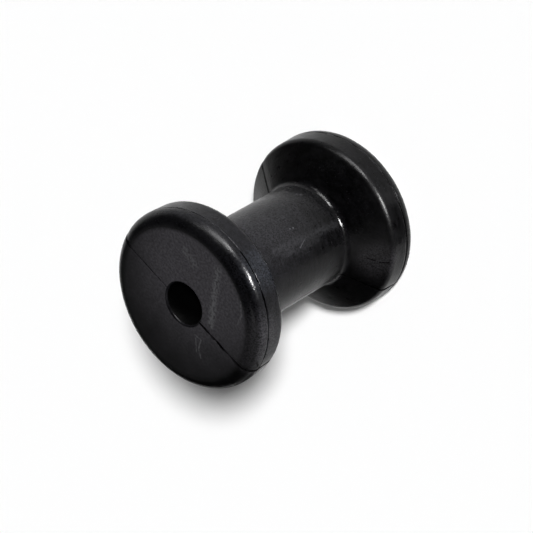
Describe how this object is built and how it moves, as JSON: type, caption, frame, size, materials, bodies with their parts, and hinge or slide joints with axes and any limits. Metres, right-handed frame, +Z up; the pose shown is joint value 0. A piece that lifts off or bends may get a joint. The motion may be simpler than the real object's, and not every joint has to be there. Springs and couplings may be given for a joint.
{
  "type": "boat trailer roller",
  "caption": "Moulded rubber spool roller with a plain barrel between two rounded flanges and a bore through it, which turns on a spindle and carries a boat's keel.",
  "frame": {"origin": "centre of the end face that the roller stands on", "axes": "+Z up along the bore's axis; the form is turned, so X may point any way round it"},
  "size_m": [0.076, 0.076, 0.1],
  "materials": {
    "black_rubber": "moulded black rubber with a low satin sheen and fine grain"
  },
  "bodies": {
    "root": {"roller": "black_rubber"}
  },
  "joints": []
}
